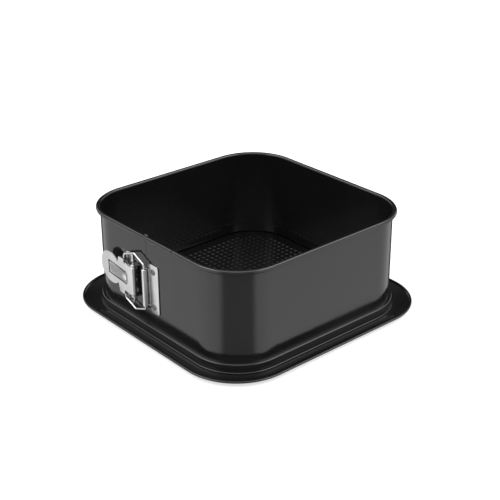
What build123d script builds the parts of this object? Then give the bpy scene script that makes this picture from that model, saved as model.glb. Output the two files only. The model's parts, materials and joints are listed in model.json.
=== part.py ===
from build123d import *
import os

# Square springform baking pan, 20 cm, with an over-centre wire latch.
# Frame: origin on the floor under the middle of the pan, +Z up.
# The latch is on the wall that faces -X; the hook end of the ring lies towards -Y.

# ---- driving dimensions (mm) ----
WALL_HALF = 100.0            # outer face of the wall, from the centre
SHEET = 0.5                  # ring sheet
CORNER_R = 41.0              # outer corner radius of the wall
RING_BOTTOM = 5.9            # lower edge of the ring, just above the flange's rolled edge
HEM_OUT = 3.3                # how far the lower hem stands outside the wall
SKIRT_OUT = 2.8              # how far the skirt stands outside the wall
SKIRT_TOP = 9.9              # outer edge of the nearly level shoulder
WALL_FOOT = 10.5             # where the plain wall starts
TONGUE_FOOT = 11.4           # lower edge of the inner tongue, clear of the platform
BEAD_R = 2.0                 # rolled rim bead
BEAD_OUT = 1.5               # bead centre, outside the wall face
BEAD_Z = 89.4                # bead centre height

BASE_SHEET = 0.8
FOOT_HALF = 107.0            # outer edge of the flat foot that stands on the floor
FOOT_CORNER_R = 48.0
ROLL_HALF = 116.4            # middle of the flange's rolled edge
ROLL_CORNER_R = 50.0
ROLL_R = 1.0
ROLL_Z = 4.6
SEAT_HALF = 103.3            # step that the ring stands over
SEAT_TOP = 5.6
PLATFORM_HALF = 98.6         # raised platform that carries the cake
PLATFORM_TOP = 11.0

LATCH_Z = 45.0               # middle height of the latch
PIVOT_OUT = 3.6              # latch pivots, outside the wall face
LEVER_PIVOT_Y = 21.5
HOOK_PIVOT_Y = 5.8
WIRE_R = 1.0
WIRE_END_Y = 33.5            # where the wire's two ends meet the lever
WIRE_APEX_Y = 18.6
PIN_R = 1.1
RUNNING_FIT = 0.06           # radial clearance of every running fit
BRACKET_SHEET = 0.9
STRIP_HALF = 22.2            # half height of the hook strip

HOOK_END_Y = 6.5             # where the hook side's sheet ends on the latch wall
TONGUE_END_Y = -29.0         # where the lever side's inner tongue ends
BEAD_END_Y = -31.0           # where the lever side's rim bead ends
BODY_GAP = 0.35              # gap between bodies that move past each other
FLEX_Y = -58.0               # line on the +X wall where the ring's two sides part
FLEX_GAP = 0.8

X_WALL = -WALL_HALF          # outer face of the latch wall
X_PIVOT = X_WALL - PIVOT_OUT

C = WALL_HALF - CORNER_R     # centre of each corner's bend, along both axes

ON_END = (Align.CENTER, Align.CENTER, Align.MIN)

LEVER_KNUCKLE_R = 2.3
HOOK_KNUCKLE_R = 2.2
KNUCKLE_HALF = 16.8
LUG_INNER = 13.2             # inner face of the bracket's lugs, from the latch middle
LUG_OUTER = 14.3
BRACKET_Y = (22.4, 34.4)
BRACKET_HALF = 22.8
BRACKET_RIVET_Y = 30.0
BRACKET_RIVET_Z = 18.8
STRIP_Y = (-9.0, 3.2)
STRIP_RIVET_Z = 16.0
STRIP_RIVET_Y = -2.6
RIVET_HOLE_R = 1.4

BRACKET_RIVETS = [(BRACKET_RIVET_Y, LATCH_Z - BRACKET_RIVET_Z), (BRACKET_RIVET_Y, LATCH_Z + BRACKET_RIVET_Z)]
STRIP_RIVETS = [(STRIP_RIVET_Y, LATCH_Z - STRIP_RIVET_Z), (STRIP_RIVET_Y, LATCH_Z + STRIP_RIVET_Z)]

LEVER_SHEET = 1.2
LEVER_OUT = PIVOT_OUT + LEVER_KNUCKLE_R - LEVER_SHEET / 2   # sheet middle, outside the wall
TONGUE_HALF = 12.8
SHOULDER_HALF = 17.0
SHOULDER_Y = (31.6, 39.0)
NECK_Y = 44.2
NECK_HALF = 10.0
THUMB_Y = 50.6
THUMB_R = 14.0
RIB_Y = 41.5
RIB_LENGTH = 26.0
RIB_WIDTH = 10.5


def corner_piece(profile, centre, start):
    """Revolve a profile, drawn as (outward from the corner's axis, height), through 90 degrees."""
    face = Plane.XZ * profile
    turned = revolve(face, Axis.Z, 90)
    return Pos(centre[0], centre[1], 0) * Rot(0, 0, start) * turned


def straight_piece(profile, reach, side, start, end):
    """Extrude a profile along one side of the ring, from start to end as measured along that side.
    side 0 is +X, 90 is +Y, 180 is -X, 270 is -Y; the profile's zero is reach inside the outer face."""
    face = Plane.XZ * profile
    run = extrude(face, amount=end - start)
    return Rot(0, 0, side) * Pos(WALL_HALF - reach, end, 0) * run


def polygon_face(points):
    return make_face(Polyline(*points, close=True))


def ring_profile(reach):
    """The ring's section, reach being the distance from the local zero to the wall's outer face."""
    hem = [
        (reach + SKIRT_OUT - SHEET, RING_BOTTOM),
        (reach + HEM_OUT, RING_BOTTOM),
        (reach + HEM_OUT, RING_BOTTOM + 1.0),
        (reach + SKIRT_OUT, RING_BOTTOM + 1.6),
        (reach + SKIRT_OUT, SKIRT_TOP),
        (reach, WALL_FOOT),
        (reach, BEAD_Z),
        (reach - SHEET, BEAD_Z),
        (reach - SHEET, WALL_FOOT - 0.45),
        (reach + SKIRT_OUT - SHEET, SKIRT_TOP - 0.45),
    ]
    bead = Pos(reach + BEAD_OUT, BEAD_Z) * Circle(BEAD_R)
    return polygon_face(hem) + bead


def wall_only_profile(reach, top, bottom=RING_BOTTOM):
    """The ring's section without its rim bead, cut off between two heights."""
    window = Pos(reach, (top + bottom) / 2) * Rectangle(20, top - bottom)
    return ring_profile(reach) & window


def corner(centre, start):
    return corner_piece(ring_profile(CORNER_R), centre, start)


def run(side, start, end, profile=None):
    return straight_piece(profile or ring_profile(CORNER_R), CORNER_R, side, start, end)


def lever_side_ring():
    """The half of the ring that carries the lever, from the latch wall round by +Y to the +X wall."""
    side = run(0, FLEX_Y + FLEX_GAP / 2, C) + corner((C, C), 0)
    side += run(90, -C, C) + corner((-C, C), 90)
    # On the latch wall, distances along side 180 are measured towards -Y.
    side += run(180, -C, -(HOOK_END_Y + BODY_GAP))
    # The bead runs on above the hook side's sheet.
    bead_face = Pos(CORNER_R + BEAD_OUT, BEAD_Z) * Circle(BEAD_R)
    side += run(180, -(HOOK_END_Y + 1), -BEAD_END_Y, bead_face)
    # The inner tongue slips behind the hook side's wall and reaches up to the bead.
    depth = SHEET + BODY_GAP
    tongue = Pos(CORNER_R - depth - SHEET / 2, (TONGUE_FOOT + BEAD_Z) / 2)
    tongue *= Rectangle(SHEET, BEAD_Z - TONGUE_FOOT)
    lip = Pos(CORNER_R - (depth + SHEET) / 2 + BEAD_OUT / 2, BEAD_Z + 0.3)
    lip *= Rectangle(depth + SHEET + BEAD_OUT, 0.6)
    side += run(180, -(HOOK_END_Y + 2.0), -TONGUE_END_Y, tongue + lip)
    joggle = Pos(CORNER_R - (depth + SHEET) / 2, (TONGUE_FOOT + BEAD_Z) / 2)
    joggle *= Rectangle(depth + SHEET, BEAD_Z - TONGUE_FOOT)
    side += run(180, -(HOOK_END_Y + 2.0), -(HOOK_END_Y + BODY_GAP), joggle)
    return side


def hook_side_ring():
    """The half of the ring that carries the hook strip, from the latch wall round by -Y."""
    full_from = -BEAD_END_Y + 0.6
    side = run(180, full_from, C) + corner((-C, -C), 180)
    side += run(270, -C, C) + corner((C, -C), 270)
    side += run(0, -C, FLEX_Y - FLEX_GAP / 2)
    lapped = wall_only_profile(CORNER_R, BEAD_Z - BEAD_R - BODY_GAP)
    side += run(180, -HOOK_END_Y, full_from + 0.1, lapped)
    return side


def rounded_slab(half, corner_r, bottom, top):
    sheet = extrude(RectangleRounded(2 * half, 2 * half, corner_r), top - bottom)
    return Pos(0, 0, bottom) * sheet


def rounded_bowl(low, high):
    """Solid between two rounded squares, each given as (half width, corner radius, height)."""
    loops = [Pos(0, 0, z) * RectangleRounded(2 * half, 2 * half, r) for half, r, z in (low, high)]
    return loft(loops, ruled=True)


def rounded_level(half, bottom, top, top_fillet):
    """Slab concentric with the wall's corners, its upper edge rounded over."""
    slab = rounded_slab(half, CORNER_R - (WALL_HALF - half), bottom, top)
    return fillet(slab.edges().group_by(Axis.Z)[-1], top_fillet)


def rolled_edge():
    """Closed tube of wire-like section that runs round the outside of the flange."""
    centre = ROLL_HALF - ROLL_CORNER_R
    section = Pos(ROLL_CORNER_R, ROLL_Z) * Circle(ROLL_R)
    rod = Rot(90, 0, 0) * Cylinder(ROLL_R, 2 * centre)
    quarters = []
    for quarter in range(4):
        turn = Rot(0, 0, 90 * quarter)
        quarters.append(turn * corner_piece(section, (centre, centre), 0))
        quarters.append(turn * Pos(ROLL_HALF, 0, ROLL_Z) * rod)
    return quarters[0].fuse(*quarters[1:])


def base_plate():
    """Dished flange with a rolled edge, a step under the ring and a raised hollow platform."""
    under = rounded_bowl((FOOT_HALF - 0.1, FOOT_CORNER_R, 0), (ROLL_HALF, ROLL_CORNER_R, ROLL_Z - 0.9))
    dish = rounded_bowl((FOOT_HALF, FOOT_CORNER_R, BASE_SHEET), (ROLL_HALF, ROLL_CORNER_R, ROLL_Z))
    plate = under - dish + rolled_edge()
    plate += rounded_slab(FOOT_HALF, FOOT_CORNER_R, 0, BASE_SHEET)
    plate += rounded_level(SEAT_HALF, 0, SEAT_TOP, 0.5)
    plate += rounded_level(PLATFORM_HALF, SEAT_TOP - BASE_SHEET, PLATFORM_TOP, 1.6)
    plate -= rounded_level(SEAT_HALF - BASE_SHEET, -1, SEAT_TOP - BASE_SHEET, 0.3)
    plate -= rounded_level(PLATFORM_HALF - BASE_SHEET, 0, PLATFORM_TOP - BASE_SHEET, 0.8)
    return plate


def rivets(places, tail_t):
    """Domed rivets through a latch plate and the wall; tail_t is the height of the inner head."""
    grip = BRACKET_SHEET + SHEET
    group = []
    for y, z in places:
        head = Pos(0, 0, grip) * Cylinder(2.5, 0.9, align=ON_END)
        rivet = fillet(head.edges().group_by(Axis.Z)[-1], 0.7)
        rivet += Cylinder(RIVET_HOLE_R, grip, align=ON_END)
        if tail_t > 0:
            rivet += Cylinder(2.4, tail_t, align=(Align.CENTER, Align.CENTER, Align.MAX))
        group.append(Pos(X_WALL + SHEET, y, z) * Rot(0, -90, 0) * rivet)
    return group


def latch_plate(y_span, half, rivet_places):
    y0, y1 = y_span
    plate = Box(BRACKET_SHEET, y1 - y0, 2 * half)
    plate = fillet(plate.edges().filter_by(Axis.X), 2.6)
    plate = Pos(X_WALL - BRACKET_SHEET / 2, (y0 + y1) / 2, LATCH_Z) * plate
    for y, z in rivet_places:
        plate -= Pos(X_WALL, y, z) * Rot(0, 90, 0) * Cylinder(RIVET_HOLE_R, 6)
    return plate


def lever_bracket():
    """Plate riveted to the wall, with two lugs that hold the lever's pin."""
    bracket = latch_plate(BRACKET_Y, BRACKET_HALF, BRACKET_RIVETS)
    lug_t = LUG_OUTER - LUG_INNER
    for sign in (-1, 1):
        z = LATCH_Z + sign * (LUG_INNER + LUG_OUTER) / 2
        eye = Pos(X_PIVOT, LEVER_PIVOT_Y, z) * Cylinder(LEVER_KNUCKLE_R, lug_t)
        foot = Pos(X_WALL - PIVOT_OUT / 2, LEVER_PIVOT_Y, z) * Box(PIVOT_OUT, 2 * LEVER_KNUCKLE_R, lug_t)
        bracket += eye + foot
    bracket -= Pos(X_PIVOT, LEVER_PIVOT_Y, LATCH_Z) * Cylinder(PIN_R, 2 * LUG_OUTER + 4)
    return bracket


def lever_pin():
    pin = Pos(X_PIVOT, LEVER_PIVOT_Y, LATCH_Z) * Cylinder(PIN_R, 2 * LUG_OUTER)
    for sign in (-1, 1):
        head = Cylinder(1.9, 0.7)
        pin += Pos(X_PIVOT, LEVER_PIVOT_Y, LATCH_Z + sign * (LUG_OUTER + 0.35)) * head
    return pin


def clamp_lever():
    """Stamped lever: pivot barrel, tongue, shoulders for the wire's ends, neck, round thumb plate."""
    upper = [
        (LEVER_PIVOT_Y, TONGUE_HALF),
        (SHOULDER_Y[0], TONGUE_HALF),
        (SHOULDER_Y[0] + 0.6, SHOULDER_HALF),
        (SHOULDER_Y[1], SHOULDER_HALF),
        (NECK_Y - 1.5, NECK_HALF),
        (THUMB_Y, NECK_HALF),
    ]
    lower = [(y, -z) for y, z in reversed(upper)]
    blank = polygon_face(upper + lower) + Pos(THUMB_Y, 0) * Circle(THUMB_R)
    # The blank is drawn in (y, z) and stands parallel to the wall.
    stand = Plane(origin=(X_WALL - LEVER_OUT - LEVER_SHEET / 2, 0, LATCH_Z),
                  x_dir=(0, 1, 0), z_dir=(1, 0, 0))
    lever = extrude(stand * blank, LEVER_SHEET)
    rib = Box(1.6, RIB_LENGTH, RIB_WIDTH)
    rib = fillet(rib.edges().filter_by(Axis.X), 3.0)
    rib = fillet(rib.faces().sort_by(Axis.X)[0].edges(), 1.0)
    lever += Pos(X_WALL - LEVER_OUT - LEVER_SHEET / 2 - 0.6, RIB_Y, LATCH_Z) * rib
    barrel = Pos(X_PIVOT, LEVER_PIVOT_Y, LATCH_Z) * Cylinder(LEVER_KNUCKLE_R, 2 * TONGUE_HALF)
    lever += barrel
    bore = Cylinder(PIN_R + RUNNING_FIT, 2 * TONGUE_HALF + 2)
    return lever - Pos(X_PIVOT, LEVER_PIVOT_Y, LATCH_Z) * bore


def hook_strip():
    """Strip riveted to the hook side, rolled into a barrel round the wire."""
    strip = latch_plate(STRIP_Y, STRIP_HALF, STRIP_RIVETS)
    knuckle = KNUCKLE_HALF
    web_t = 0.9
    web_len = HOOK_PIVOT_Y - STRIP_Y[1] + 1.2
    web_in = X_PIVOT + HOOK_KNUCKLE_R
    web = Box(X_WALL - web_in + web_t, web_len, 2 * knuckle)
    web = Pos((X_WALL + web_in) / 2 - web_t / 2, STRIP_Y[1] - 0.6 + web_len / 2, LATCH_Z) * web
    strip += web
    strip += Pos(X_PIVOT, HOOK_PIVOT_Y, LATCH_Z) * Cylinder(HOOK_KNUCKLE_R, 2 * knuckle)
    behind_wall = Pos(X_WALL + 5, 0, LATCH_Z) * Box(10, 40, 80)
    strip -= behind_wall
    bore = Cylinder(WIRE_R + RUNNING_FIT, 2 * knuckle + 2)
    return strip - Pos(X_PIVOT, HOOK_PIVOT_Y, LATCH_Z) * bore


def wire_link():
    """Bent wire: a bar through the hook barrel, two arms with an apex each, two inturned ends."""
    bar_half = 20.6
    apex_half = 26.4
    end_half = 20.8
    end_inner = SHOULDER_HALF + 0.3
    points = [
        (WIRE_END_Y, end_inner), (WIRE_END_Y, end_half), (WIRE_APEX_Y, apex_half),
        (HOOK_PIVOT_Y, bar_half), (HOOK_PIVOT_Y, -bar_half), (WIRE_APEX_Y, -apex_half),
        (WIRE_END_Y, -end_half), (WIRE_END_Y, -end_inner),
    ]
    path = FilletPolyline(*[(X_PIVOT, y, LATCH_Z + z) for y, z in points], radius=2.2)
    start = Plane(origin=path @ 0, z_dir=path % 0)
    return sweep(start * Circle(WIRE_R), path=path)


def export(node, shapes):
    solids = shapes if isinstance(shapes, list) else [shapes]
    pieces = [piece for shape in solids for piece in shape.solids()]
    part = pieces[0] if len(pieces) == 1 else Compound(children=pieces)
    part.label = node
    export_step(part, f"parts/{node}.step")


def main():
    os.makedirs("parts", exist_ok=True)
    bracket_rivets = rivets(BRACKET_RIVETS, 0.3)
    strip_rivets = rivets(STRIP_RIVETS, 0)
    lever_ring = lever_side_ring()
    hook_ring = hook_side_ring()
    for y, z in BRACKET_RIVETS:
        lever_ring -= Pos(X_WALL, y, z) * Rot(0, 90, 0) * Cylinder(RIVET_HOLE_R, 3)
    for y, z in STRIP_RIVETS:
        hook_ring -= Pos(X_WALL, y, z) * Rot(0, 90, 0) * Cylinder(RIVET_HOLE_R, 3)
    export("base_plate", base_plate())
    export("ring_lever_side", lever_ring)
    export("ring_hook_side", hook_ring)
    export("lever_bracket", lever_bracket())
    export("bracket_rivets", bracket_rivets)
    export("lever_pin", lever_pin())
    export("clamp_lever", clamp_lever())
    export("wire_link", wire_link())
    export("hook_strip", hook_strip())
    export("hook_strip_rivets", strip_rivets)


main()
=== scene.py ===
import json
import math

import bmesh
import bpy
from mathutils import Matrix, Vector


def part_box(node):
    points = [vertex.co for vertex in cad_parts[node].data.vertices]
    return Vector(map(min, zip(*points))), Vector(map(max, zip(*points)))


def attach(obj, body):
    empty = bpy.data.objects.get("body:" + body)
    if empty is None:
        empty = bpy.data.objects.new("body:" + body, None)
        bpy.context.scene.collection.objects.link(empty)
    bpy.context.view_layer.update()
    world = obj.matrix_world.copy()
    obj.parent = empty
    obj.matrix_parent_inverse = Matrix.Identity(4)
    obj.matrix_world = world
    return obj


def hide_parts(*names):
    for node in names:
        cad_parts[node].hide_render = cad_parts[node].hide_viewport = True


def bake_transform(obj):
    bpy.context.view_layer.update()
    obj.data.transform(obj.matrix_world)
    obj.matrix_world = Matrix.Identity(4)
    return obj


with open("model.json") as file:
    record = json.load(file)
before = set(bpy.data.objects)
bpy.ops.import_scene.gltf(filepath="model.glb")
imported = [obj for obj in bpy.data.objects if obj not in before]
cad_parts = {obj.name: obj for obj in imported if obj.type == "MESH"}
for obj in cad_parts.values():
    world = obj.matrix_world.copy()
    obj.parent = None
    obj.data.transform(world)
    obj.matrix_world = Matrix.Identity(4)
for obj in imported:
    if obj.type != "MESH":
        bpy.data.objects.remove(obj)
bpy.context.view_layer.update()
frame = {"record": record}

# Square springform pan. All lengths are in metres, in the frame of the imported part:
# +Z up, floor at z = 0, the latch on the wall that faces -X.

MM = 0.001

# ---- sizes read from the frame ----
_, FOOT_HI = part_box("base_plate")
RING_LO, RING_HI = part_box("ring_lever_side")
_, LEVER_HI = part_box("clamp_lever")
STRIP_LO, STRIP_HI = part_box("hook_strip")
BRACKET_LO, BRACKET_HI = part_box("lever_bracket")
LATCH_Z = (STRIP_LO.z + STRIP_HI.z) / 2
JOINTS = {j["name"]: j for j in frame["record"]["behaviour"]["joints"]}
PIVOT = Vector(JOINTS["lever_swing"]["pos_m"])
HOOK = Vector(JOINTS["link_swing"]["pos_m"])

# ---- ring ----
BEAD_R = 2.0 * MM
BEAD_OUT = 1.5 * MM
WALL = RING_HI.x - BEAD_R - BEAD_OUT            # outer face of the wall, from the centre
CORNER_R = 41.0 * MM                            # outer corner radius of the wall
SHEET = 0.5 * MM
RIM_Z = RING_HI.z - BEAD_R                      # middle of the rim bead
RING_BOTTOM = RING_LO.z
SKIRT_OUT = 2.8 * MM
SKIRT_TOP = 9.9 * MM
SHOULDER_BEND_R = 1.15 * MM                     # bend between the shoulder and the skirt
WALL_FOOT = 10.5 * MM
TONGUE_FOOT = 11.4 * MM
FLEX_START_Y = -36 * MM                         # the +X wall flexes between these two places
FLEX_END_Y = -WALL + CORNER_R

# ---- base ----
OVERALL = FOOT_HI.x                             # outer edge of the base
PLATFORM_TOP = FOOT_HI.z
PLATFORM = 98.6 * MM
SEAT = WALL + SKIRT_OUT + 0.1 * MM              # step under the ring, flush with its skirt
SEAT_TOP = 5.6 * MM
FOOT = 107.0 * MM
FOOT_R = 48.0 * MM
ROLL_R = 1.0 * MM
ROLL_Z = 4.6 * MM
ROLL_CORNER_R = 50.0 * MM
BASE_SHEET = 0.8 * MM
FLOOR_LEVEL = PLATFORM_TOP - 0.6 * MM           # plain part of the cake floor; the bumps rise from it
BUMP_PITCH = 5.75 * MM
BUMP_R = 2.4 * MM
BUMP_AREA = 88.0 * MM                           # the plain border starts here

# ---- lap on the latch wall ----
LAP_GAP = 0.35 * MM                             # between the two sheets of the lap
HOOK_END_Y = 6.5 * MM                           # where the hook side's sheet ends
BEAD_SPLIT_Y = -31.3 * MM                       # where one rim bead hands over to the other
TONGUE_END_Y = -29.0 * MM
TONGUE_OUTER = -(SHEET + LAP_GAP)               # faces of the tongue, from the wall's outer face
TONGUE_INNER = TONGUE_OUTER - SHEET

# ---- latch; half heights are from its middle, heights h outward from the wall's face ----
PLATE_T = 0.9 * MM                              # sheet of the bracket and the hook strip
PLATE_CORNER_R = 2.6 * MM
PLATE_EDGE_Y = 25.0 * MM                        # edge of the bracket's plate, under the lever
LUG_INNER = 13.2 * MM
LUG_OUTER = 14.3 * MM
LUG_R = 2.3 * MM

PIN_R = 1.1 * MM
PIN_HEAD_R = 1.9 * MM
PIN_HEAD_T = 0.7 * MM
PIN_LIP = 0.25 * MM
PIN_HALF = 15.0 * MM

LEVER_T = 1.2 * MM
LEVER_H = 4.7 * MM                              # inner face of the lever's sheet
LEVER_HALF = 12.7 * MM
LEVER_BARREL_R = 2.3 * MM
LEVER_BORE_R = 1.15 * MM
LEVER_RISE = 0.105                              # how far the lever slants up towards its thumb end
SHOULDER_HALF = 17.0 * MM
THUMB_Y = 50.6 * MM
THUMB_R = 13.9 * MM

TAB_Y = (27.0 * MM, 52.6 * MM)
TAB_HALF = 4.7 * MM
TAB_TAPER = 0.15                                # share of its width the tab loses at the thumb end
TAB_RISE = 0.8 * MM
TAB_SLOT = 1.4 * MM
TAB_END_R = 3.3 * MM
TAB_END_RISE = 1.4 * MM

STRIP_EDGE_Y = 3.2 * MM
STRIP_WEB_Y = (2.4 * MM, 6.8 * MM)
HOOK_BARREL_HALF = 16.8 * MM
HOOK_BARREL_R = 2.2 * MM
HOOK_BORE_R = 1.04 * MM

WIRE_R = 0.95 * MM
WIRE_BEND_R = 2.2 * MM
WIRE_END_Y = 33.5 * MM
WIRE_APEX_Y = 18.6 * MM
WIRE_TIP_HALF = 17.3 * MM                       # where the wire's ends stop, in the lever's shoulders
WIRE_END_HALF = 20.8 * MM
WIRE_APEX_HALF = 26.4 * MM
WIRE_BAR_HALF = 20.6 * MM

RIVET_R = 2.7 * MM
RIVET_RISE = 0.85 * MM
BRACKET_RIVET_Y = 30.0 * MM
BRACKET_RIVET_HALF = 18.8 * MM
STRIP_RIVET_Y = -2.6 * MM
STRIP_RIVET_HALF = 16.0 * MM


# ---- materials ----
def new_material(name):
    mat = bpy.data.materials.new(name)
    mat.use_nodes = True
    nodes = mat.node_tree.nodes
    return mat, nodes, mat.node_tree.links, nodes["Principled BSDF"]


def noise_chain(nodes, links, scale, low, high, detail=6.0, stretch=(1, 1, 1)):
    """Noise in object space, remapped between two values; returns the node that gives it."""
    coord = nodes.new("ShaderNodeTexCoord")
    mapping = nodes.new("ShaderNodeMapping")
    mapping.inputs["Scale"].default_value = stretch
    noise = nodes.new("ShaderNodeTexNoise")
    noise.inputs["Scale"].default_value = scale
    noise.inputs["Detail"].default_value = detail
    ramp = nodes.new("ShaderNodeMapRange")
    ramp.inputs["From Min"].default_value = 0.3
    ramp.inputs["From Max"].default_value = 0.7
    ramp.inputs["To Min"].default_value = low
    ramp.inputs["To Max"].default_value = high
    links.new(coord.outputs["Object"], mapping.inputs["Vector"])
    links.new(mapping.outputs["Vector"], noise.inputs["Vector"])
    links.new(noise.outputs["Fac"], ramp.inputs["Value"])
    return ramp


def tone_mix(nodes, links, factor, dark, light):
    mix = nodes.new("ShaderNodeMix")
    mix.data_type = "RGBA"
    mix.inputs["A"].default_value = (*dark, 1)
    mix.inputs["B"].default_value = (*light, 1)
    links.new(factor, mix.inputs["Factor"])
    return mix.outputs["Result"]


def coating_material(name, tone, rough, grain):
    """Glossy black non-stick coating: faint orange peel, a little roughness drift, fine specks."""
    mat, nodes, links, shader = new_material(name)
    drift = noise_chain(nodes, links, 9.0, 0.0, 1.0)
    light = tuple(c * 1.5 for c in tone)
    links.new(tone_mix(nodes, links, drift.outputs["Result"], tone, light), shader.inputs["Base Color"])
    gloss = noise_chain(nodes, links, 26.0, rough * 0.8, rough * 1.25)
    links.new(gloss.outputs["Result"], shader.inputs["Roughness"])
    peel = noise_chain(nodes, links, 420.0, 0.0, 1.0, detail=2.0)
    bump = nodes.new("ShaderNodeBump")
    bump.inputs["Strength"].default_value = grain
    bump.inputs["Distance"].default_value = 0.0002
    links.new(peel.outputs["Result"], bump.inputs["Height"])
    links.new(bump.outputs["Normal"], shader.inputs["Normal"])
    shader.inputs["Specular IOR Level"].default_value = 0.5
    shader.inputs["IOR"].default_value = 1.5
    return mat


def metal_material(name, tone, rough, stretch):
    """Plated steel: metallic, lightly brushed along one way, with slight tarnish."""
    mat, nodes, links, shader = new_material(name)
    tarnish = noise_chain(nodes, links, 60.0, 0.0, 1.0)
    dark = tuple(c * 0.86 for c in tone)
    links.new(tone_mix(nodes, links, tarnish.outputs["Result"], dark, tone), shader.inputs["Base Color"])
    shader.inputs["Metallic"].default_value = 1.0
    brushed = noise_chain(nodes, links, 500.0, rough * 0.8, rough * 1.25, detail=3.0, stretch=stretch)
    links.new(brushed.outputs["Result"], shader.inputs["Roughness"])
    bump = nodes.new("ShaderNodeBump")
    bump.inputs["Strength"].default_value = 0.06
    bump.inputs["Distance"].default_value = 0.0001
    links.new(brushed.outputs["Result"], bump.inputs["Height"])
    links.new(bump.outputs["Normal"], shader.inputs["Normal"])
    return mat


COATING = coating_material("ring_coating", (0.0045, 0.0045, 0.0048), 0.13, 0.10)
BASE_COATING = coating_material("base_coating", (0.004, 0.004, 0.0042), 0.16, 0.10)
PLATED = metal_material("plated_steel", (0.62, 0.62, 0.615), 0.28, (1, 1, 0.1))
# Painted shade: the pressed tab is the lever's own plating, given here as a darker copy of it (tone 0.3
# against 0.62) for the shade on the tab
TAB_SHADED_STEEL = metal_material("tab_steel_painted_shade", (0.3, 0.3, 0.3), 0.3, (1, 1, 1))
RIVET_STEEL = metal_material("rivet_steel", (0.16, 0.16, 0.16), 0.33, (1, 1, 1))
WIRE_STEEL = metal_material("wire_steel", (0.6, 0.6, 0.6), 0.24, (1, 1, 0.2))
RAW_EDGE = metal_material("raw_edge", (0.7, 0.69, 0.67), 0.35, (1, 0.2, 1))


# ---- mesh helpers ----
def finish_mesh(name, bm, material, sharp_deg=35.0):
    """Object from a bmesh: smooth faces, sharp edges above an angle, one material."""
    bmesh.ops.remove_doubles(bm, verts=bm.verts, dist=1e-6)
    bmesh.ops.recalc_face_normals(bm, faces=bm.faces)
    mesh = bpy.data.meshes.new(name)
    bm.to_mesh(mesh)
    bm.free()
    for poly in mesh.polygons:
        poly.use_smooth = True
    mesh.set_sharp_from_angle(angle=math.radians(sharp_deg))
    mesh.materials.append(material)
    obj = bpy.data.objects.new(name, mesh)
    bpy.context.scene.collection.objects.link(obj)
    return obj


def arc(cx, cz, r, start, end, steps):
    """Points on an arc in a section, angles in degrees."""
    angles = [math.radians(start + (end - start) * i / steps) for i in range(steps + 1)]
    return [(cx + r * math.cos(a), cz + r * math.sin(a)) for a in angles]


def rounded_square(half, corner_r, per_corner=18, per_side=12):
    """Closed loop of (x, y) points, anticlockwise from the middle of the +X side."""
    c = half - corner_r
    points = []
    for quarter in range(4):
        turn = Matrix.Rotation(math.radians(90 * quarter), 2)
        for i in range(per_side // 2):
            points.append(turn @ Vector((half, c * 2 * i / per_side)))
        for i in range(per_corner + 1):
            a = math.pi / 2 * i / per_corner
            points.append(turn @ Vector((c + corner_r * math.cos(a), c + corner_r * math.sin(a))))
        for i in range(1, per_side // 2):
            points.append(turn @ Vector((c * (1 - 2 * i / per_side), half)))
    return points


def ring_point(place, offset, z):
    """A point of the ring, offset outward from the wall's face at a place on its track."""
    (px, py), (nx, ny) = place
    return Vector((px + nx * offset, py + ny * offset, z))


def wall_track(y_from, y_to, per_corner=24, side_step=0.006):
    """Places along the wall, anticlockwise seen from above, from (side, y) to (side, y).
    Each end is (sign of x, y) on the +X or -X wall; yields ((x, y), (normal x, normal y))."""
    c = WALL - CORNER_R

    def side(p, q, normal):
        n = max(1, int(math.ceil((Vector(q) - Vector(p)).length / side_step)))
        return [(tuple(Vector(p).lerp(Vector(q), i / n)), normal) for i in range(n + 1)]

    def corner(cx, cy, start):
        places = []
        for i in range(1, per_corner):
            a = math.radians(start + 90 * i / per_corner)
            n = (math.cos(a), math.sin(a))
            places.append(((cx + CORNER_R * n[0], cy + CORNER_R * n[1]), n))
        return places

    if y_from[0] > 0:        # +X wall round by +Y to the -X wall
        return (side((WALL, y_from[1]), (WALL, c), (1, 0)) + corner(c, c, 0)
                + side((c, WALL), (-c, WALL), (0, 1)) + corner(-c, c, 90)
                + side((-WALL, c), (-WALL, y_to[1]), (-1, 0)))
    return (side((-WALL, y_from[1]), (-WALL, -c), (-1, 0)) + corner(-c, -c, 180)
            + side((-c, -WALL), (c, -WALL), (0, -1)) + corner(c, -c, 270)
            + side((WALL, -c), (WALL, y_to[1]), (1, 0)))


def sweep(name, track, section, material, caps=True):
    """Carries a closed section of (offset, z) points along a track of places."""
    bm = bmesh.new()
    rows = [[bm.verts.new(ring_point(place, offset, z)) for offset, z in section] for place in track]
    count = len(section)
    for a, b in zip(rows, rows[1:]):
        for i in range(count):
            j = (i + 1) % count
            bm.faces.new((a[i], a[j], b[j], b[i]))
    if caps:
        bm.faces.new(list(reversed(rows[0])))
        bm.faces.new(rows[-1])
    return finish_mesh(name, bm, material)


def straight_track(x_sign, y0, y1, step=0.004):
    n = max(1, int(math.ceil(abs(y1 - y0) / step)))
    return [((x_sign * WALL, y0 + (y1 - y0) * i / n), (x_sign, 0)) for i in range(n + 1)]


# ---- ring sections, as (offset outward from the wall's face, z) ----
def foot_section():
    """Closed section of the wall, its level shoulder and its skirt, without the rim bead."""
    outer = [(0, RIM_Z), (0, WALL_FOOT - 0.3 * MM)]
    outer += arc(SKIRT_OUT - SHOULDER_BEND_R, SKIRT_TOP - SHOULDER_BEND_R + 0.05 * MM,
                 SHOULDER_BEND_R, 84, 0, 8)
    outer += [(SKIRT_OUT, RING_BOTTOM)]
    inner = [(SKIRT_OUT - SHEET, RING_BOTTOM), (SKIRT_OUT - SHEET, SKIRT_TOP - 0.5 * MM),
             (-SHEET, WALL_FOOT - 0.4 * MM), (-SHEET, RIM_Z)]
    return outer + inner


def wall_section():
    """The whole section; the rim bead is a curl that rolls outward and down."""
    bead = arc(BEAD_OUT, RIM_Z, BEAD_R, 212, -128, 22)
    return foot_section()[1:-1] + [(-SHEET, RIM_Z - 0.4 * MM)] + bead + [(0, RIM_Z - 1.5 * MM)]


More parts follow.
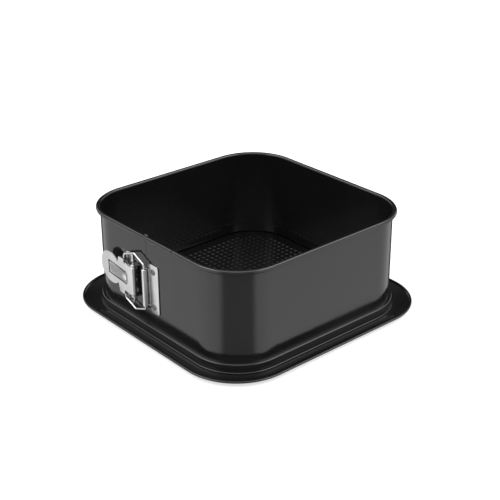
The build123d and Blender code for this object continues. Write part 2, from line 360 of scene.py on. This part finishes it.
# ---- base plate ----
def base_plate():
    """One skin: platform, seat step, foot, dished flange, rolled edge, and back underneath."""
    def loop(half, corner_r, z):
        return [Vector((p.x, p.y, z)) for p in rounded_square(half, corner_r)]

    def concentric(half):
        return CORNER_R - (WALL - half)

    roll_half = OVERALL - ROLL_R

    def dish(u):
        """Half size, corner radius and height of the flange at share u from foot to roll."""
        half = FOOT + (roll_half - FOOT) * u
        height = BASE_SHEET + (ROLL_Z - BASE_SHEET) * u ** 1.35
        return half, FOOT_R + (ROLL_CORNER_R - FOOT_R) * u, height

    # upper side, from the platform outwards
    top_r = 1.6 * MM
    upper = [(PLATFORM - top_r + x, FLOOR_LEVEL - top_r + z)
             for x, z in arc(0, 0, top_r, 90, 0, 6)]
    upper += [(PLATFORM, SEAT_TOP + 0.35 * MM), (PLATFORM + 0.35 * MM, SEAT_TOP)]
    upper += [(SEAT, SEAT_TOP), (SEAT, 2.9 * MM)]
    upper += [(SEAT - 0.1 * MM + x, 2.1 * MM + z) for x, z in arc(0, 0, 0.9 * MM, 70, -40, 8)]
    rows = [loop(half, concentric(half), z) for half, z in upper]
    for i in range(9):
        half, corner_r, z = dish(i / 9)
        rows.append(loop(half, corner_r, z))
    rows += [loop(roll_half + x, ROLL_CORNER_R + x, ROLL_Z + z)
             for x, z in arc(0, 0, ROLL_R, 150, -110, 14)]
    # underside, back inwards
    for i in reversed(range(1, 9)):
        half, corner_r, z = dish(i / 9)
        rows.append(loop(half - 0.2 * MM, corner_r, z - BASE_SHEET))
    rows.append(loop(FOOT, FOOT_R, 0))
    under = [(SEAT - BASE_SHEET, 0.0), (SEAT - BASE_SHEET, SEAT_TOP - BASE_SHEET),
             (PLATFORM - BASE_SHEET, SEAT_TOP - BASE_SHEET),
             (PLATFORM - BASE_SHEET, PLATFORM_TOP - BASE_SHEET)]
    rows += [loop(half, concentric(half), z) for half, z in under]
    bm = bmesh.new()
    verts = [[bm.verts.new(p) for p in row] for row in rows]
    count = len(verts[0])
    for a, b in zip(verts, verts[1:]):
        for i in range(count):
            j = (i + 1) % count
            bm.faces.new((a[i], a[j], b[j], b[i]))
    bm.faces.new(verts[-1])
    bm.faces.new(list(reversed(verts[0])))
    return finish_mesh("base_pan", bm, BASE_COATING, sharp_deg=40)


def floor_bumps():
    """Square grid of low round bumps embossed in the cake floor, inside a plain border."""
    c = PLATFORM - CORNER_R
    count = int(BUMP_AREA / BUMP_PITCH)
    height = PLATFORM_TOP - FLOOR_LEVEL + 0.04 * MM
    around = 12
    bm = bmesh.new()
    for i in range(-count, count + 1):
        for j in range(-count, count + 1):
            x, y = i * BUMP_PITCH, j * BUMP_PITCH
            if math.hypot(max(abs(x) - c, 0), max(abs(y) - c, 0)) > BUMP_AREA - c:
                continue
            previous = None
            for ring in range(1, 5):
                r = BUMP_R * ring / 4
                level = PLATFORM_TOP - height * (1 - (1 - (ring / 4) ** 2) ** 2)
                loop = [bm.verts.new((x + r * math.cos(2 * math.pi * k / around),
                                      y + r * math.sin(2 * math.pi * k / around), level))
                        for k in range(around)]
                if previous is None:
                    bm.faces.new(loop)
                else:
                    for k in range(around):
                        n = (k + 1) % around
                        bm.faces.new((previous[k], loop[k], loop[n], previous[n]))
                previous = loop
    mesh = bpy.data.meshes.new("floor_bumps")
    bm.to_mesh(mesh)
    bm.free()
    mesh.polygons.foreach_set("use_smooth", [True] * len(mesh.polygons))
    mesh.materials.append(BASE_COATING)
    obj = bpy.data.objects.new("floor_bumps", mesh)
    bpy.context.scene.collection.objects.link(obj)
    return obj


# ---- latch pieces ----
def out(h):
    """X of a point that stands h outside the latch wall's face."""
    return -WALL - h


def plate(name, outline, h0, thickness, material, bevel=0.22 * MM):
    """Sheet parallel to the latch wall, from h0 outward, with softly rounded edges."""
    bm = bmesh.new()
    near = [bm.verts.new((out(h0), y, z)) for y, z in outline]
    far = [bm.verts.new((out(h0 + thickness), y, z)) for y, z in outline]
    bm.faces.new(near)
    bm.faces.new(list(reversed(far)))
    for i in range(len(outline)):
        j = (i + 1) % len(outline)
        bm.faces.new((near[i], far[i], far[j], near[j]))
    obj = finish_mesh(name, bm, material)
    soften = obj.modifiers.new("edge", "BEVEL")
    soften.width = bevel
    soften.segments = 3
    soften.limit_method = "ANGLE"
    soften.angle_limit = math.radians(50)
    return obj


def part_turn(p0, p1, share):
    """p0 turned by a share of the angle from p0 to p1, in the plane."""
    angle = math.atan2(p0.x * p1.y - p0.y * p1.x, p0.dot(p1))
    return Matrix.Rotation(angle * share, 2) @ p0


def round_corners(corners, r, steps=6):
    """Outline of (y, z) corners with every corner rounded."""
    points = []
    n = len(corners)
    for i, corner in enumerate(corners):
        here = Vector(corner)
        back = Vector(corners[i - 1]) - here
        ahead = Vector(corners[(i + 1) % n]) - here
        half_angle = back.angle(ahead) / 2
        back.normalize()
        ahead.normalize()
        reach = r / math.tan(half_angle)
        centre = here + (back + ahead).normalized() * (r / math.sin(half_angle))
        p0, p1 = here + back * reach - centre, here + ahead * reach - centre
        for k in range(steps + 1):
            points.append(tuple(centre + part_turn(p0, p1, k / steps)))
    return points


def rectangle(y0, y1, z0, z1, r):
    return round_corners([(y0, z0), (y1, z0), (y1, z1), (y0, z1)], r)


def lathe(name, profile, centre, axis, material, steps=32):
    """Turns (radius, along) points about an axis through centre."""
    bm = bmesh.new()
    turn = Vector((0, 0, 1)).rotation_difference(Vector(axis)).to_matrix()
    rows = []
    for r, along in profile:
        rows.append([bm.verts.new(centre + turn @ Vector((r * math.cos(2 * math.pi * k / steps),
                                                          r * math.sin(2 * math.pi * k / steps), along)))
                     for k in range(steps)])
    for a, b in zip(rows, rows[1:]):
        for k in range(steps):
            n = (k + 1) % steps
            bm.faces.new((a[k], a[n], b[n], b[k]))
    bm.faces.new(list(reversed(rows[0])))
    bm.faces.new(rows[-1])
    return finish_mesh(name, bm, material, sharp_deg=40)


def tube_along(name, points, r, material, around=16):
    """Round wire along a path of points, with flat ends."""
    bm = bmesh.new()
    rows = []
    side = Vector((1, 0, 0))
    for i, p in enumerate(points):
        ahead = (points[min(i + 1, len(points) - 1)] - points[max(i - 1, 0)]).normalized()
        other = ahead.cross(side).normalized()
        rows.append([bm.verts.new(p + side * (r * math.cos(2 * math.pi * k / around))
                                  + other * (r * math.sin(2 * math.pi * k / around)))
                     for k in range(around)])
    for a, b in zip(rows, rows[1:]):
        for k in range(around):
            n = (k + 1) % around
            bm.faces.new((a[k], b[k], b[n], a[n]))
    bm.faces.new(rows[0])
    bm.faces.new(list(reversed(rows[-1])))
    return finish_mesh(name, bm, material, sharp_deg=50)


def bent_path(corners, r, steps=8):
    """Points of a path in the latch plane with rounded bends; corners are (y, z)."""
    path = [Vector(corners[0])]
    for a, b, c in zip(corners, corners[1:], corners[2:]):
        here = Vector(b)
        back, ahead = Vector(a) - here, Vector(c) - here
        half_angle = back.angle(ahead) / 2
        back.normalize()
        ahead.normalize()
        centre = here + (back + ahead).normalized() * (r / math.sin(half_angle))
        p0 = here + back * (r / math.tan(half_angle)) - centre
        p1 = here + ahead * (r / math.tan(half_angle)) - centre
        path += [centre + part_turn(p0, p1, k / steps) for k in range(steps + 1)]
    path.append(Vector(corners[-1]))
    return [Vector((HOOK.x, p.x, p.y)) for p in path]


def barrel(name, y, half, r, bore_r, material):
    """Sheet rolled round a pin: an open tube with thin rounded rims."""
    lip = 0.3 * MM
    profile = [(bore_r, -half), (r - lip, -half), (r, -half + lip), (r, half - lip), (r - lip, half),
               (bore_r, half)]
    centre = Vector((HOOK.x, y, LATCH_Z))
    return lathe(name, profile, centre, (0, 0, 1), material)


def rivet(name, y, z, h, material):
    """Domed rivet head with a small set dimple, standing on a plate at height h."""
    angles = [math.radians(12 * k) for k in range(1, 7)]
    dome = [(RIVET_R, 0)] + [(RIVET_R * math.cos(a), RIVET_RISE * math.sin(a)) for a in angles]
    dimple = [(0.5 * MM, RIVET_RISE * 0.93), (0.3 * MM, RIVET_RISE * 0.78)]
    return lathe(name, dome + dimple, Vector((out(h), y, z)), (-1, 0, 0), material)


def join(name, objs):
    """One piece out of several meshes; modifiers are applied first."""
    graph = bpy.context.evaluated_depsgraph_get()
    bm = bmesh.new()
    for o in objs:
        bm.from_mesh(o.evaluated_get(graph).to_mesh())
    mesh = bpy.data.meshes.new(name)
    bm.to_mesh(mesh)
    bm.free()
    mesh.set_sharp_from_angle(angle=math.radians(38))
    mesh.materials.append(objs[0].data.materials[0])
    for o in objs:
        bpy.data.objects.remove(o)
    obj = bpy.data.objects.new(name, mesh)
    bpy.context.scene.collection.objects.link(obj)
    return obj


def clamp_lever():
    """Stamped lever as three pieces: the lever itself, its pressed tab, the tab's domed end."""
    corners = [(PIVOT.y, LEVER_HALF), (31.8 * MM, LEVER_HALF), (32.2 * MM, SHOULDER_HALF),
               (38.8 * MM, SHOULDER_HALF), (40.4 * MM, 9.9 * MM), (42.4 * MM, 10.2 * MM), (43.0 * MM, 0)]
    upper = [(PIVOT.y, LEVER_HALF)] + round_corners(corners, 0.7 * MM, steps=4)[5:-5]
    half = upper + arc(THUMB_Y, 0, THUMB_R, 130, 0, 24)
    outline = [(y, LATCH_Z + z) for y, z in half]
    outline += [(y, LATCH_Z - z) for y, z in reversed(half[:-1])]
    blade = plate("lever_blade", outline, LEVER_H, LEVER_T, PLATED, bevel=0.3 * MM)
    cut_slots(blade)
    roll = barrel("lever_barrel", PIVOT.y, LEVER_HALF, LEVER_BARREL_R, LEVER_BORE_R, PLATED)
    tab = pressed_tab("lever_tab", LEVER_H + LEVER_T)
    angles = [math.radians(12 * k) for k in range(8)]
    dome = [(TAB_END_R * math.cos(a), TAB_END_RISE * math.sin(a)) for a in angles]
    place = Vector((out(LEVER_H + LEVER_T), TAB_Y[0] + 3.4 * MM, LATCH_Z))
    tab_end = lathe("lever_tab_end", dome, place, (-1, 0, 0), WIRE_STEEL)
    pieces = [join("lever", [blade, roll]), tab, tab_end]
    for piece in pieces:
        for v in piece.data.vertices:
            v.co.z = min(v.co.z + LEVER_RISE * max(v.co.y - PIVOT.y, 0.0), LEVER_HI.z)
    return pieces


def cut_slots(blade):
    """Cuts the slot that frees the pressed tab on three sides."""
    bm = bmesh.new()
    y0, y1 = TAB_Y[0] + 1.5 * MM, TAB_Y[1] + TAB_SLOT
    reach = TAB_HALF + TAB_SLOT / 2
    boxes = [((y0 + y1) / 2, sign * reach, y1 - y0, TAB_SLOT) for sign in (-1, 1)]
    boxes.append((y1 - TAB_SLOT / 2, 0, TAB_SLOT, 2 * reach - TAB_SLOT * 0.98))
    for y, z, length, height in boxes:
        place = Matrix.Translation((out(LEVER_H + LEVER_T / 2), y, LATCH_Z + z))
        size = Matrix.Diagonal((4 * LEVER_T, length, height, 1))
        bmesh.ops.create_cube(bm, size=1, matrix=place @ size)
    cutter = finish_mesh("slot_cutter", bm, PLATED)
    cut = blade.modifiers.new("slots", "BOOLEAN")
    cut.operation = "DIFFERENCE"
    cut.object = cutter
    cut.use_self = True
    cutter.hide_render = True
    bpy.context.view_layer.update()
    graph = bpy.context.evaluated_depsgraph_get()
    mesh = bpy.data.meshes.new_from_object(blade.evaluated_get(graph))
    blade.modifiers.clear()
    blade.data = mesh
    bpy.data.objects.remove(cutter)


def pressed_tab(name, h):
    """Tab pressed out of the lever: level with it at the thumb end, proud at the pivot end."""
    bm = bmesh.new()
    y0, y1 = TAB_Y
    along = [(y0, -0.3 * MM), (y0 + 0.5 * MM, 0.35 * TAB_RISE), (y0 + 1.4 * MM, 0.85 * TAB_RISE),
             (y0 + 2.6 * MM, TAB_RISE), (y0 + 8 * MM, 0.8 * TAB_RISE), ((y0 + y1) / 2, 0.5 * TAB_RISE),
             (y1 - 1.0 * MM, 0.1 * TAB_RISE), (y1, -0.2 * MM)]
    across = [(-1.0, -0.9 * MM), (-0.97, -0.15 * MM), (-0.85, 0.0), (0.0, 0.08 * MM), (0.85, 0.0),
              (0.97, -0.15 * MM), (1.0, -0.9 * MM)]
    rows = []
    for y, level in along:
        half = TAB_HALF * (1 - TAB_TAPER * (y - y0) / (y1 - y0))
        rows.append([bm.verts.new((out(h + level + drop), y, LATCH_Z + share * half))
                     for share, drop in across])
    for a, b in zip(rows, rows[1:]):
        for i in range(len(a) - 1):
            bm.faces.new((a[i], a[i + 1], b[i + 1], b[i]))
        bm.faces.new((a[-1], a[0], b[0], b[-1]))
    bm.faces.new(rows[0])
    bm.faces.new(list(reversed(rows[-1])))
    # the tab's darker steel is painted shade on the lever's own plating
    return finish_mesh(name, bm, TAB_SHADED_STEEL, sharp_deg=60)


def lever_bracket():
    """Plate riveted to the wall, with two lugs that hold the pin."""
    outline = rectangle(PLATE_EDGE_Y, BRACKET_HI.y, BRACKET_LO.z, BRACKET_HI.z, PLATE_CORNER_R)
    body = plate("bracket_plate", outline, 0, PLATE_T, PLATED)
    lugs = []
    for sign in (-1, 1):
        z0 = LATCH_Z + sign * LUG_INNER
        z1 = LATCH_Z + sign * LUG_OUTER
        shape = [(out(0), PIVOT.y - LUG_R), (out(0), PLATE_EDGE_Y + 1.0 * MM)]
        shape += [(PIVOT.x - dx, PIVOT.y + dy) for dy, dx in arc(0, 0, LUG_R, 0, 180, 12)]
        bm = bmesh.new()
        low = [bm.verts.new((x, y, min(z0, z1))) for x, y in shape]
        high = [bm.verts.new((x, y, max(z0, z1))) for x, y in shape]
        bm.faces.new(low)
        bm.faces.new(list(reversed(high)))
        for i in range(len(shape)):
            j = (i + 1) % len(shape)
            bm.faces.new((low[i], high[i], high[j], low[j]))
        lugs.append(finish_mesh("lug", bm, PLATED))
    return join("bracket", [body] + lugs)


def lever_pin():
    """Pin with a flat head at both ends."""
    neck, lip = PIN_HALF - PIN_HEAD_T, PIN_HALF - PIN_LIP
    profile = [(PIN_HEAD_R - PIN_LIP, -PIN_HALF), (PIN_HEAD_R, -lip), (PIN_HEAD_R, -neck), (PIN_R, -neck),
               (PIN_R, neck), (PIN_HEAD_R, neck), (PIN_HEAD_R, lip), (PIN_HEAD_R - PIN_LIP, PIN_HALF)]
    return lathe("pivot_pin", profile, Vector((PIVOT.x, PIVOT.y, LATCH_Z)), (0, 0, 1), PLATED)


def hook_strip():
    """Plate riveted to the wall, its web, and the barrel that the wire turns in."""
    outline = rectangle(STRIP_LO.y, STRIP_EDGE_Y, STRIP_LO.z, STRIP_HI.z, PLATE_CORNER_R)
    body = plate("strip_plate", outline, 0, PLATE_T, PLATED)
    outline = rectangle(STRIP_WEB_Y[0], STRIP_WEB_Y[1], LATCH_Z - HOOK_BARREL_HALF,
                        LATCH_Z + HOOK_BARREL_HALF, 0.4 * MM)
    web = plate("strip_web", outline, 0.15 * MM, 1.0 * MM, PLATED)
    roll = barrel("strip_barrel", HOOK.y, HOOK_BARREL_HALF, HOOK_BARREL_R, HOOK_BORE_R, PLATED)
    return join("hook_plate", [body, web, roll])


def wire_link():
    """Bent wire from one shoulder of the lever, through the hook strip's barrel, to the other."""
    upper = [(WIRE_END_Y, WIRE_TIP_HALF), (WIRE_END_Y, WIRE_END_HALF), (WIRE_APEX_Y, WIRE_APEX_HALF),
             (HOOK.y, WIRE_BAR_HALF)]
    lower = [(HOOK.y, WIRE_BAR_HALF - 0.7 * MM), (WIRE_APEX_Y + 1.2 * MM, WIRE_APEX_HALF - 1.2 * MM),
             (WIRE_END_Y, WIRE_END_HALF - 0.9 * MM), (WIRE_END_Y, WIRE_TIP_HALF - 1.7 * MM)]
    corners = [(y, LATCH_Z + z) for y, z in upper] + [(y, LATCH_Z - z) for y, z in lower]
    return tube_along("wire", bent_path(corners, WIRE_BEND_R), WIRE_R, WIRE_STEEL)


# ---- build ----
def put(obj, body, slot_name, *nodes):
    """Gives a piece its body and hides the CAD nodes it stands for; the material slot name is not used.
    """
    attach(obj, body)
    if nodes:
        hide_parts(*nodes)


def put_lap(name, y0, y1, section, body="ring_lever_half", material=COATING):
    """Straight piece of the lap on the latch wall, from y0 to y1."""
    put(sweep(name, straight_track(-1, y0, y1), section, material), body, "coated_steel")


put(base_plate(), "base", "coated_steel", "base_plate")
put(floor_bumps(), "base", "coated_steel")

lever_half = sweep("ring_lever_half_wall", wall_track((1, FLEX_START_Y), (-1, HOOK_END_Y + 0.35 * MM)),
                   wall_section(), COATING)
put(lever_half, "ring_lever_half", "coated_steel", "ring_lever_side")
hook_half = sweep("ring_hook_half_wall", wall_track((-1, BEAD_SPLIT_Y - 0.3 * MM), (1, FLEX_END_Y)),
                  wall_section(), COATING)
put(hook_half, "ring_hook_half", "coated_steel", "ring_hook_side")
flex = sweep("ring_flexing_wall", straight_track(1, FLEX_END_Y, FLEX_START_Y, 0.003),
             wall_section(), COATING, caps=False)
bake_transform(flex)

# The lap: the hook side's sheet lies outside, the lever side's tongue inside it, and the lever
# side's rim bead runs on over both.
lap_top = RIM_Z - BEAD_R - LAP_GAP
lap_sheet = [(offset, min(z, lap_top)) for offset, z in foot_section()]
put_lap("ring_lap_sheet", BEAD_SPLIT_Y - 0.4 * MM, HOOK_END_Y, lap_sheet, "ring_hook_half")
tongue = [(TONGUE_OUTER, RIM_Z), (TONGUE_INNER, RIM_Z), (TONGUE_INNER, TONGUE_FOOT),
          (TONGUE_OUTER, TONGUE_FOOT)]
put_lap("ring_tongue", TONGUE_END_Y, HOOK_END_Y + 2 * MM, tongue)
ear = [(TONGUE_OUTER, RIM_Z), (TONGUE_INNER, RIM_Z), (TONGUE_INNER, RIM_Z - 4 * MM),
       (TONGUE_OUTER, RIM_Z - 4 * MM)]
put_lap("ring_tongue_ear", BEAD_SPLIT_Y - 1.2 * MM, TONGUE_END_Y + 0.5 * MM, ear)
bead_over = arc(BEAD_OUT, RIM_Z, BEAD_R, 0, 342, 19)
put_lap("ring_bead_over_lap", BEAD_SPLIT_Y + 0.3 * MM, HOOK_END_Y + 1.0 * MM, bead_over)
bridge = [(BEAD_OUT, RIM_Z + BEAD_R), (TONGUE_INNER + 0.3 * MM, RIM_Z + 0.6 * MM),
          (TONGUE_INNER, RIM_Z + 0.1 * MM), (TONGUE_INNER, RIM_Z - 0.5 * MM),
          (TONGUE_OUTER, RIM_Z - 0.5 * MM), (BEAD_OUT, RIM_Z)]
put_lap("ring_rim_bridge", TONGUE_END_Y, HOOK_END_Y + 2 * MM, bridge)
core = arc(BEAD_OUT, RIM_Z, 1.6 * MM, 0, 345, 23)
put_lap("ring_bead_core", BEAD_SPLIT_Y - 3 * MM, BEAD_SPLIT_Y + 2 * MM, core)
raw = [(1.2 * MM, RIM_Z + 1.98 * MM), (-0.5 * MM, RIM_Z + 1.98 * MM), (-0.8 * MM, RIM_Z + 1.7 * MM),
       (-0.9 * MM, RIM_Z + 0.6 * MM), (1.2 * MM, RIM_Z + 1.6 * MM)]
put_lap("ring_raw_edge", HOOK_END_Y - 2.4 * MM, HOOK_END_Y + 0.4 * MM, raw, material=RAW_EDGE)

put(lever_bracket(), "ring_lever_half", "plated_steel", "lever_bracket")
put(lever_pin(), "ring_lever_half", "plated_steel", "lever_pin")
lever, lever_tab, lever_tab_end = clamp_lever()
put(lever, "lever", "plated_steel", "clamp_lever")
put(lever_tab, "lever", "plated_steel")
put(lever_tab_end, "lever", "plated_steel")
put(hook_strip(), "ring_hook_half", "plated_steel", "hook_strip")
put(wire_link(), "link", "wire_steel", "wire_link")
heads = [rivet("rivet", BRACKET_RIVET_Y, LATCH_Z + dz, PLATE_T, RIVET_STEEL)
         for dz in (-BRACKET_RIVET_HALF, BRACKET_RIVET_HALF)]
put(join("bracket_rivet_heads", heads), "ring_lever_half", "plated_steel", "bracket_rivets")
heads = [rivet("rivet", STRIP_RIVET_Y, LATCH_Z + dz, PLATE_T, RIVET_STEEL)
         for dz in (-STRIP_RIVET_HALF, STRIP_RIVET_HALF)]
put(join("strip_rivet_heads", heads), "ring_hook_half", "plated_steel", "hook_strip_rivets")


# ---- studio ----
def studio_floor():
    """Pale paper that glows a little and is not mirrored in the pan."""
    bpy.ops.mesh.primitive_plane_add(size=12, location=(0, 0, -0.0002))
    ground = bpy.context.object
    ground.name = "studio_floor"
    mat, _, _, shader = new_material("studio_paper")
    shader.inputs["Base Color"].default_value = (0.5, 0.5, 0.5, 1)
    shader.inputs["Emission Color"].default_value = (1, 1, 1, 1)
    shader.inputs["Emission Strength"].default_value = 0.62
    shader.inputs["Roughness"].default_value = 0.9
    shader.inputs["Specular IOR Level"].default_value = 0.0
    ground.data.materials.append(mat)
    ground.visible_glossy = False


CAMERA_SIDE = math.radians(-40.568)             # the side of the pan that the camera stands on
CAMERA_ELEVATION = 24.284                       # degrees
CAMERA_DISTANCE = 0.9485
CAMERA_TARGET_Z = 0.0711                        # height of the point that the camera circles
CAMERA_LENS = 79.758                            # mm, on a sensor 36 mm wide
CAMERA_PAN, CAMERA_TILT, CAMERA_ROLL = 0.21206, -1.24632, 0.386    # degrees off the circled point

# Strength of the studio's light, by the direction it comes from.
DARK_BEYOND = 0.05
DIM_BEHIND_CAMERA = 0.42
BRIGHT_SIDES = 0.93
BRIGHTER_ABOVE = 6.0


def studio_world():
    """Soft room: bright on both sides of the camera, dim behind it and dark beyond the pan."""
    world = bpy.data.worlds.new("studio")
    world.use_nodes = True
    nodes, links = world.node_tree.nodes, world.node_tree.links
    coord = nodes.new("ShaderNodeTexCoord")

    def facing(direction, low, high, out_low, out_high, both_ways=False):
        dot = nodes.new("ShaderNodeVectorMath")
        dot.operation = "DOT_PRODUCT"
        dot.inputs[1].default_value = direction
        links.new(coord.outputs["Generated"], dot.inputs[0])
        value = dot.outputs["Value"]
        if both_ways:
            value = calculate("ABSOLUTE", value)
        ramp = nodes.new("ShaderNodeMapRange")
        ramp.interpolation_type = "SMOOTHSTEP"
        ramp.inputs["From Min"].default_value = low
        ramp.inputs["From Max"].default_value = high
        ramp.inputs["To Min"].default_value = out_low
        ramp.inputs["To Max"].default_value = out_high
        links.new(value, ramp.inputs["Value"])
        return ramp.outputs["Result"]

    def calculate(operation, *values):
        node = nodes.new("ShaderNodeMath")
        node.operation = operation
        for socket, value in zip(node.inputs, values):
            links.new(value, socket)
        return node.outputs["Value"]

    towards = (math.sin(CAMERA_SIDE), -math.cos(CAMERA_SIDE), 0)
    across = (math.cos(CAMERA_SIDE), math.sin(CAMERA_SIDE), 0)
    middle = facing(towards, -0.3, 0.3, DARK_BEYOND, DIM_BEHIND_CAMERA)
    sides = facing(across, 0.42, 0.64, 0.0, BRIGHT_SIDES, both_ways=True)
    above = facing((0, 0, 1), 0.45, 0.85, 1.0, BRIGHTER_ABOVE)
    strength = calculate("MULTIPLY", calculate("ADD", middle, sides), above)
    links.new(strength, nodes["Background"].inputs["Strength"])
    nodes["Background"].inputs["Color"].default_value = (1, 1, 1, 1)
    bpy.context.scene.world = world


def turned(a, b, angle):
    """Two perpendicular vectors turned in their own plane."""
    return (a * math.cos(angle) - b * math.sin(angle), a * math.sin(angle) + b * math.cos(angle))


def studio_camera():
    """Camera on a circle round the pan, turned slightly off the point it circles."""
    elevation = math.radians(CAMERA_ELEVATION)
    pan, tilt, roll = (math.radians(a) for a in (CAMERA_PAN, CAMERA_TILT, CAMERA_ROLL))
    back = Vector((math.sin(CAMERA_SIDE) * math.cos(elevation),
                   -math.cos(CAMERA_SIDE) * math.cos(elevation), math.sin(elevation)))
    right = Vector((math.cos(CAMERA_SIDE), math.sin(CAMERA_SIDE), 0))
    up = back.cross(right)
    place = back * CAMERA_DISTANCE + Vector((0, 0, CAMERA_TARGET_Z))
    ahead = -back
    right, ahead = turned(right, ahead, pan)
    up, ahead = turned(up, ahead, tilt)
    right, up = turned(right, up, roll)
    data = bpy.data.cameras.new("camera")
    data.sensor_width = 36
    data.lens = CAMERA_LENS
    data.clip_start, data.clip_end = 0.01, 50
    camera = bpy.data.objects.new("camera", data)
    camera.matrix_world = Matrix((
        (right.x, up.x, -ahead.x, place.x),
        (right.y, up.y, -ahead.y, place.y),
        (right.z, up.z, -ahead.z, place.z),
        (0, 0, 0, 1)))
    bpy.context.scene.collection.objects.link(camera)
    bpy.context.scene.camera = camera


studio_floor()
studio_world()
studio_camera()
bpy.context.scene.view_settings.view_transform = "Standard"
